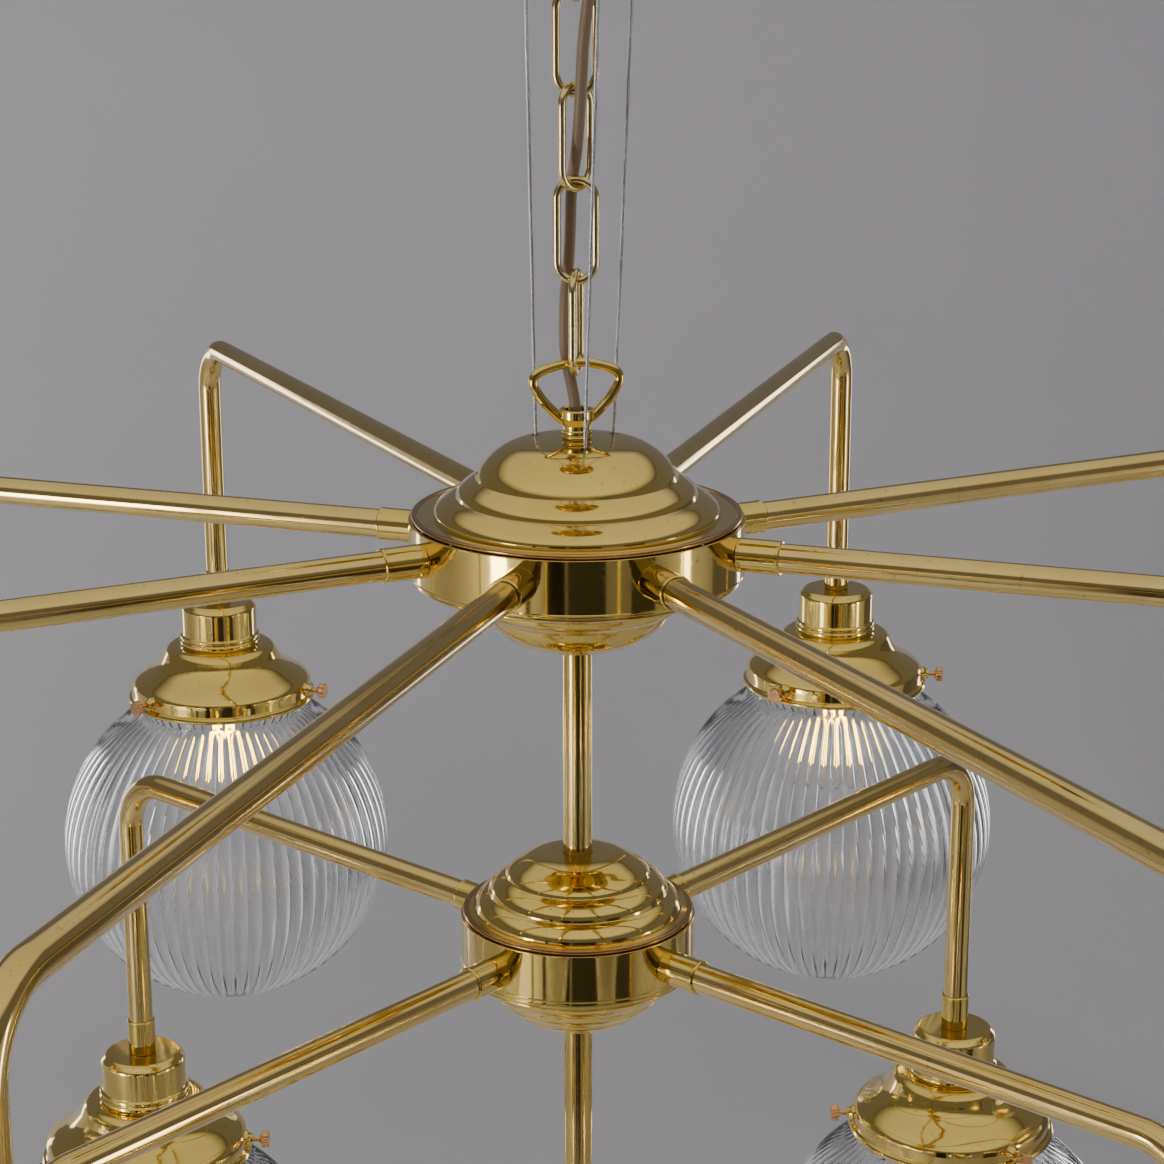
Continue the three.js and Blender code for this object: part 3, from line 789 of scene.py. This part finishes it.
def arm_path(band_r, reach):
    """Centre line of an arm: out along X, round its bend and down to the lamp."""
    points = [(band_r - 0.6 + t, 0, 0) for t in np.linspace(0, reach - BEND_R - band_r + 0.6, 24)[:-1]]
    points += [(reach - BEND_R + BEND_R * math.sin(a), 0, -BEND_R + BEND_R * math.cos(a))
               for a in np.linspace(0, math.pi / 2, 25)]
    points += [(reach, 0, z) for z in np.linspace(-BEND_R, -LAMP_DROP + 0.4, 12)[1:]]
    return points


def make_arms():
    """Twelve bent tubes with a collar at each end, and the two stems."""
    collar = collar_mesh()
    tiers = (("upper", UPPER_Z, UPPER_BAND_R, UPPER_REACH, 8),
             ("lower", LOWER_Z, LOWER_BAND_R, LOWER_REACH, 4))
    for tier, z, band_r, reach, count in tiers:
        tube = Shape().tube(arm_path(band_r, reach), TUBE_R, 48).mesh(f"{tier}_arm_tube")
        for i in range(count):
            turn = 360 * (i + 0.5) / count
            place = at(0, 0, z, turn)
            name = f"{tier}_arm_{i + 1}"
            put(f"{name}_tube", tube, tube_brass, *HUB_BRASS, place, replaces=(name,))
            out = place @ Matrix.Translation(((band_r - 0.35) * MM, 0, 0))
            out = out @ Matrix.Rotation(math.pi / 2, 4, "Y")
            put(f"{name}_hub_collar", collar, collar_brass, *HUB_BRASS, out)
            drop = place @ Matrix.Translation((reach * MM, 0, (-LAMP_DROP + 0.3) * MM))
            put(f"{name}_drop_collar", collar, collar_brass, *HUB_BRASS, drop)
    stem = Shape().tube([(0, 0, z) for z in np.linspace(UPPER_Z - 36, LOWER_Z + 33, 10)], TUBE_R, 48)
    put("centre_stem_tube", stem.mesh("centre_stem_tube"), tube_brass, *HUB_BRASS, replaces=("centre_stem",))
    end = LOWER_Z - LAMP_DROP + 0.3
    drop = Shape().tube([(0, 0, z) for z in np.linspace(LOWER_Z - 33, end, 10)], TUBE_R, 48)
    put("lower_stem_tube", drop.mesh("lower_stem_tube"), tube_brass, *HUB_BRASS, replaces=("lower_stem",))
    put("lower_stem_collar", collar, collar_brass, *HUB_BRASS, at(0, 0, end))


make_arms()

# ---- Lamps ----


def cup_mesh():
    """Lampholder cover and the beaded rings below it."""
    profile = [(4.6, 0, 0.2), (19.6, 0, 3.4), (22.7, -3.4, 3.2), (22.7, -19.5, 0.3), (24.0, -20.3, 0.8),
               (24.2, -21.5, 0.8), (23.1, -22.6, 0.5), (24.2, -23.6, 0.8), (24.4, -25.0, 0.8),
               (23.6, -26.2, 0.5), (23.6, -27.0, 0.3), (21.6, -27.0, 0.3), (21.6, -4.4, 2.4),
               (19.0, -1.4, 2.0), (4.6, -1.4, 0.2)]
    return outward(Shape().turn(softened(profile, 0.3, 6, loop=True), 96, loop=True).mesh("lamp_cup"))


def gallery_mesh():
    """Bell-shaped gallery: shoulder, flare, upright band and rolled rim."""
    outside = lobe([(23.0, -26.5), (27.5, -26.6), (30.6, -27.3), (32.8, -29.0), (34.3, -31.8), (35.7, -34.9),
                    (37.9, -37.9), (41.2, -40.7), (45.4, -43.2), (49.6, -45.7), (52.8, -48.2), (54.2, -50.3),
                    (54.5, -52.8)])
    outside += [(54.5, -57.4, 0.6), (56.2, -58.0, 0.8), (57.0, -59.6, 1.0), (56.3, -61.0, 0.8),
                (54.6, -61.0, 0.6), (53.6, -59.6, 0.5)]
    inside = lobe([(53.5, -53.0), (53.2, -50.9), (52.0, -49.1), (49.0, -46.7), (44.8, -44.2), (40.6, -41.7),
                   (37.1, -38.7), (34.8, -35.5), (33.3, -32.3), (31.9, -29.8), (30.0, -28.4), (27.2, -27.7),
                   (23.0, -27.6)], 4)
    profile = softened(outside + inside, 0.4, 5, loop=True)
    return outward(Shape().turn(profile, 128, loop=True).mesh("lamp_gallery"))


def screw_place(i):
    """From upright on the axis to lying out through the gallery's band."""
    return (Matrix.Rotation(TAU * i / 3, 4, "Z") @ Matrix.Translation((0, 0, SCREW_Z))
            @ Matrix.Rotation(math.pi / 2, 4, "Y"))


def screws_mesh():
    """Three thumbscrews through bosses on the gallery's band."""
    shape = Shape()
    shank = [(0, 50.4), (1.35, 50.4), (1.35, 62.4), (0, 62.4)]
    head = [(0, 61.6), (2.2, 61.6), (2.4, 62.6), (4.0, 63.0, 0.3), (4.6, 63.5, 0.3), (4.6, 66.6, 0.3),
            (4.0, 67.0, 0.3), (0, 67.0)]
    for i in range(3):
        start = len(shape.verts)
        shape.turn(softened(shank, 0.2), 16)
        shape.turn(softened(head, 0.2), 40)
        for k in range(start, len(shape.verts)):
            x, y, z = shape.verts[k]
            r = math.hypot(x, y)
            if r > 4.3 and z > 61:
                knurl = 1 - 0.055 * (0.5 + 0.5 * math.cos(20 * math.atan2(y, x)))
                shape.verts[k] = (x * knurl, y * knurl, z)
        shape.moved(start, screw_place(i))
    return shape.mesh("lamp_screws", sharp=30)


def bosses_mesh():
    """Threaded bosses on the gallery's band, one under each thumbscrew."""
    shape = Shape()
    profile = [(1.5, 53.2), (4.4, 53.2), (4.2, 55.4, 0.8), (3.2, 57.0, 0.5), (3.0, 58.3, 0.4), (1.5, 58.3)]
    for i in range(3):
        start = len(shape.verts)
        shape.turn(softened(profile, 0.3, loop=True), 28, loop=True)
        shape.moved(start, screw_place(i))
    return outward(shape.mesh("screw_bosses"))


def holder_mesh():
    """Lampholder body with its threaded skirt and shade ring."""
    profile = [(0, -4.5), (14.5, -4.5, 1), (14.5, -16, 0.4), (16.2, -17, 0.6), (16.2, -28, 0.6),
               (15.6, -29, 0.3)]
    for k in range(5):
        z = -31 - 4.2 * k
        profile += [(16.3, z, 0.8), (15.3, z - 2.1, 0.8)]
    profile += [(16.3, -52, 0.6), (16.3, -58, 0.8), (14.0, -59, 0.5), (13.4, -56, 0.3), (13.4, -36, 0.3),
                (0, -36)]
    return Shape().turn(softened(profile, 0.5, 3), 64).mesh("lamp_holder")


def bulb_meshes():
    """Clear filament bulb: glass envelope, screw shell and six upright filaments."""
    outer = [(0, -131.0), (10.5, -129.1, 8), (20.2, -123.5, 10), (27.2, -114.6, 12), (30.0, -101.0, 14),
             (28.0, -88.4, 14), (22.6, -78.4, 12), (17.2, -70.0, 12), (13.6, -61.5, 6), (12.6, -56.5, 0.5)]
    glass = softened(outer, 1, 6)
    wall = 0.7
    inner = [(max(0.0, r - wall), z + (wall if r < 12 and z < -120 else 0)) for r, z in glass][::-1]
    envelope = Shape().turn([tuple(p) for p in glass] + inner, 64).mesh("bulb_envelope")
    shell = softened([(0, -40), (12.2, -40), (13.0, -57), (12.0, -62), (0, -62)], 0.6)
    base = Shape().turn(shell, 48).mesh("bulb_base")
    wires, strands, count = Shape(), Shape(), 6
    wires.tube([(0, 0, -60), (0, 0, -76)], 3.2, 12)
    for k in range(count):
        a = TAU * (k + 0.5) / count
        top = (5.5 * math.cos(a), 5.5 * math.sin(a), -78)
        low = (9.5 * math.cos(a), 9.5 * math.sin(a), -114)
        wires.tube([(0, 0, -75), top], 0.35, 6)
        wires.tube([low, (0, 0, -117)], 0.35, 6)
        strands.tube([top, low], 1.1, 10)
    return envelope, base, wires.mesh("bulb_stem"), strands.mesh("bulb_filaments")


def globe_mesh():
    """Blown shell: plain neck and shoulder, then vertical ribs that fade into the pole below."""
    per_rib, inner_around = 10, 144
    around = RIBS * per_rib
    neck = [(49.0, -51.6), (49.3, -52.6), (49.0, -60.0), (49.2, -63.4), (50.6, -66.2)]
    steps = (np.linspace(RIB_START, 46, 12), np.linspace(49, 150, 30), np.linspace(153, 176, 9))
    angles = np.radians(np.concatenate(steps))
    outer = neck + [(GLOBE_R * math.sin(a), GLOBE_CENTRE + GLOBE_R * math.cos(a)) for a in angles]
    turns = np.arange(around) * TAU / around
    valley = np.abs(np.sin(RIBS * turns / 2)) ** 0.85
    rings, uv = [], []
    for r, z in outer:
        polar = math.degrees(math.acos(max(-1.0, min(1.0, (z - GLOBE_CENTRE) / GLOBE_R))))
        grow = min(1.0, max(0.0, (polar - RIB_START) / RIB_FADE))
        depth = RIB_DEPTH * grow * grow * (3 - 2 * grow) * min(1.0, r / 38)
        cut = depth * (1 - valley) if z <= -66 else 0 * valley
        rings.append([((r - c) * math.cos(t), (r - c) * math.sin(t), z) for c, t in zip(cut, turns)])
        uv.append((300, -z))
    rings.append([(0, 0, GLOBE_CENTRE - GLOBE_R)])
    uv += [(300, 260), (300, 261)]
    shape = Shape()
    shape.grid(rings, around, uv)
    inner_r = GLOBE_R - GLOBE_WALL
    inner = [(0, GLOBE_CENTRE - inner_r)]
    inner += [(inner_r * math.sin(a), GLOBE_CENTRE + inner_r * math.cos(a))
              for a in np.radians(np.linspace(178, 33, 40))[1:]]
    inner += [(48.4, -67.6), (47.0, -64.5), (46.4, -60.0), (46.4, -52.6), (46.8, -51.6)]
    shape.turn(inner, inner_around)
    first = len(shape.verts) - inner_around
    step = around // inner_around
    for k in range(inner_around):
        outside = [(k * step + j) % around for j in range(step + 1)]
        shape.faces.append((*outside, first + (k + 1) % inner_around, first + k))
        shape.uvs.append(((0.0, 0.0),) * (step + 3))
    return outward(shape.mesh("globe_glass", sharp=50))


def make_lamps():
    """Thirteen lamps. Each globe rides on its own body, and all else hangs from the arms."""
    cup, gallery, holder, globe = cup_mesh(), gallery_mesh(), holder_mesh(), globe_mesh()
    screws, bosses = screws_mesh(), bosses_mesh()
    envelope, base, stem, strands = bulb_meshes()
    places = [(f"upper_{i + 1}", UPPER_REACH, 360 * (i + 0.5) / 8, UPPER_Z, turn)
              for i, turn in enumerate(UPPER_SCREW_ANGLES)]
    places += [(f"lower_{i + 1}", LOWER_REACH, 360 * (i + 0.5) / 4, LOWER_Z, turn)
               for i, turn in enumerate(LOWER_SCREW_ANGLES)]
    places.append(("centre", 0, 0, LOWER_Z, CENTRE_SCREW_ANGLE))
    for name, reach, azimuth, z, screw_turn in places:
        a = math.radians(azimuth)
        place = at(reach * math.cos(a), reach * math.sin(a), z - LAMP_DROP)
        turned = place @ Matrix.Rotation(math.radians(screw_turn), 4, "Z")
        put(f"cup_{name}", cup, spun_brass, *HUB_BRASS, place)
        put(f"bell_{name}", gallery, spun_brass, *HUB_BRASS, place, replaces=(f"gallery_{name}",))
        put(f"thumbscrews_{name}", screws, copper, *HUB_BRASS, turned)
        put(f"screw_bosses_{name}", bosses, collar_brass, *HUB_BRASS, turned)
        put(f"lampholder_{name}", holder, holder_plastic, "chandelier", "pale_plastic", place)
        put(f"bulb_glass_{name}", envelope, bulb_glass, "chandelier", "clear_glass", place)
        put(f"bulb_base_{name}", base, steel, "chandelier", "zinc_steel", place)
        put(f"bulb_stem_{name}", stem, steel, "chandelier", "zinc_steel", turned)
        put(f"filaments_{name}", strands, filament, "chandelier", "clear_glass", turned)
        put(f"shade_glass_{name}", globe, globe_glass, f"shade_{name}", "clear_glass", place,
            replaces=(f"globe_{name}",))


make_lamps()

# ---- Studio: a pale floor that rises into a round wall, and soft lights, in metres ----

FLOOR_Z, FLOOR_R, FLOOR_BEND, WALL_TOP = -2.0, 4.2, 1.5, -0.1
OVERHEAD_R, OVERHEAD_Z, OVERHEAD_FADE = 2.32, 0.95, 0.75
OVERHEAD_FRONT, OVERHEAD_BACK = (-1.6, 0.76), (1.8, 0.50)  # place along Y and strength
PAPER = ((0.89, 0.875, 0.905), (0.92, 0.905, 0.935))
COOL, WARM, OVERHEAD_WARM = (1.0, 0.99, 0.97), (1.0, 0.98, 0.95), (1.0, 0.97, 0.90)
# name, place, the height it faces, width and height, radiance, colour, fades at the sides, foot and top
WINDOWS = (
    ("left_window", (-2.24, -1.46, -0.90), -0.90, (0.56, 1.4), 15.0, COOL, (0.05, 0.45, 0.10)),
    ("right_window", (2.55, -0.73, -0.90), -0.90, (0.36, 1.4), 8.5, WARM, (0.08, 0.45, 0.10)),
    ("left_rear", (-1.75, 2.10, -0.95), -0.80, (0.30, 1.6), 5.0, COOL, (0.10, 0.30, 0.10)),
    ("right_rear", (1.75, 2.10, -0.95), -0.80, (0.30, 1.6), 5.0, COOL, (0.10, 0.30, 0.10)),
)
# name, place, the height it faces, width and height, grey
BOARDS = (
    ("right_rear_back", (1.78, 2.14, -0.95), -0.80, (0.36, 1.7), 0.05),
    ("grey_right", (2.75, 1.35, -0.95), -0.95, (1.75, 2.1), 0.24),
    ("dark_front_left", (-0.83, -2.5, -0.95), -0.95, (0.62, 2.4), 0.01),
    ("dark_front_right", (0.13, -2.6, -0.95), -0.95, (1.15, 2.4), 0.05),
    ("dark_side_left", (-1.62, -2.2, -0.95), -0.95, (0.16, 2.4), 0.02),
    ("dark_side_right", (1.75, -2.0, -0.95), -0.95, (0.80, 2.4), 0.07),
)


def floor_material():
    """Pale paper with painted light: its colour is brighter on the left and darker on the right, in place of
    light falling from the left.
    """
    material = bpy.data.materials.new("studio_floor")
    n = Nodes(material)
    paper = n.ramp(n.cloud(0.6, 3.0), [(0.3, PAPER[0]), (0.7, PAPER[1])])
    parts = n.add("ShaderNodeSeparateXYZ")
    n.link(n.coords((1, 1, 1), "Object"), parts.inputs[0])
    side = n.add("ShaderNodeVectorMath", operation="SCALE")
    n.link(paper, side.inputs[0])
    # Painted light: the paper's colour is scaled from 1.035 on the left to 0.83 on the right.
    n.link(n.ranged(parts.outputs["X"], 1.035, 0.83, -2.0, 2.4), side.inputs["Scale"])
    n.link(side.outputs["Vector"], n.shader.inputs["Base Color"])
    n.set(Roughness=0.9)
    return material


def make_floor():
    """The floor, its bend and the wall, turned as one."""
    foot, bend, floor_z = FLOOR_R / MM, FLOOR_BEND / MM, FLOOR_Z / MM
    profile = [(0, floor_z)] + [(foot * k / 6, floor_z) for k in range(1, 4)]
    profile += [(foot - bend + bend * math.sin(a), floor_z + bend - bend * math.cos(a))
                for a in np.linspace(0, math.pi / 2, 16)]
    profile += [(foot, WALL_TOP / MM)]
    floor = bpy.data.objects.new("floor", Shape().turn(profile, 96).mesh("floor"))
    floor.data.materials.append(floor_material())
    bpy.context.scene.collection.objects.link(floor)


def hang(name, data, material, where=(0, 0, 0), faces_z=None):
    """A stage piece that shows only in reflections. It may turn to face the axis at a height."""
    data.materials.append(material)
    obj = bpy.data.objects.new(name, data)
    bpy.context.scene.collection.objects.link(obj)
    obj.location = where
    if faces_z is not None:
        obj.rotation_euler = (Vector((0, 0, faces_z)) - Vector(where)).to_track_quat("Z", "Y").to_euler()
    obj.visible_camera = False


def sheet_mesh(name, size):
    """One flat rectangle whose UV runs from 0 to 1 both ways."""
    shape = Shape()
    w, h = size[0] / 2 / MM, size[1] / 2 / MM
    shape.verts = [(-w, -h, 0), (w, -h, 0), (w, h, 0), (-w, h, 0)]
    shape.faces = [(0, 1, 2, 3)]
    shape.uvs = [((0, 0), (1 / MM, 0), (1 / MM, 1 / MM), (0, 1 / MM))]
    return shape.mesh(name)


def lit_material(name, colour):
    """White cloth with light behind it. The caller links its strength."""
    material = bpy.data.materials.new(name)
    n = Nodes(material)
    n.set(Emission_Color=(*colour, 1), Base_Color=(0.1, 0.1, 0.1, 1), Roughness=0.9)
    return material, n


def make_board(name, where, faces_z, size, grey):
    """A dark or grey board that the polished metal reflects."""
    material = bpy.data.materials.new(name)
    Nodes(material).set(Base_Color=(grey, grey, grey, 1), Roughness=0.9)
    hang(name, sheet_mesh(name, size), material, where, faces_z)


def make_window(name, where, faces_z, size, radiance, colour, fades):
    """A softbox: a lit cloth that fades towards its edges."""
    material, n = lit_material(name, colour)
    parts = n.add("ShaderNodeSeparateXYZ")
    n.link(n.coords((1, 1, 1)), parts.inputs[0])
    across = n.add("ShaderNodeMath", operation="PINGPONG")
    across.inputs[1].default_value = 0.5
    n.link(parts.outputs["X"], across.inputs[0])
    side, low, high = fades
    level = n.ranged(across.outputs[0], 0.0, 1.0, 0.0, side)
    level = n.times(level, n.ranged(parts.outputs["Y"], 0.0, 1.0, 0.0, low))
    level = n.times(level, n.ranged(parts.outputs["Y"], 1.0, 0.0, 1.0 - high, 1.0))
    n.link(n.times(level, radiance), n.shader.inputs["Emission Strength"])
    hang(name, sheet_mesh(name, size), material, where, faces_z)


def make_overhead():
    """A large round diffuser above, softer at its rim and brighter towards the front."""
    material, n = lit_material("overhead", OVERHEAD_WARM)
    out = n.add("ShaderNodeVectorMath", operation="LENGTH")
    n.link(n.coords((1, 1, 0), "Object"), out.inputs[0])
    rim = n.ranged(out.outputs["Value"], 1.0, 0.0, OVERHEAD_R - OVERHEAD_FADE, OVERHEAD_R)
    parts = n.add("ShaderNodeSeparateXYZ")
    n.link(n.coords((1, 1, 1), "Object"), parts.inputs[0])
    (front, bright), (back, dim) = OVERHEAD_FRONT, OVERHEAD_BACK
    strength = n.times(rim, n.ranged(parts.outputs["Y"], bright, dim, front, back))
    n.link(strength, n.shader.inputs["Emission Strength"])
    r, z = OVERHEAD_R / MM, OVERHEAD_Z / MM
    hang("overhead", Shape().turn([(r, z), (r * 0.4, z), (0, z)], 64).mesh("overhead"), material)


make_floor()
make_overhead()
for window in WINDOWS:
    make_window(*window)
for board in BOARDS:
    make_board(*board)

world = bpy.data.worlds.new("studio_air")
world.use_nodes = True
air = world.node_tree.nodes["Background"]
air.inputs["Color"].default_value = (0.60, 0.60, 0.63, 1)
air.inputs["Strength"].default_value = 0.26
bpy.context.scene.world = world
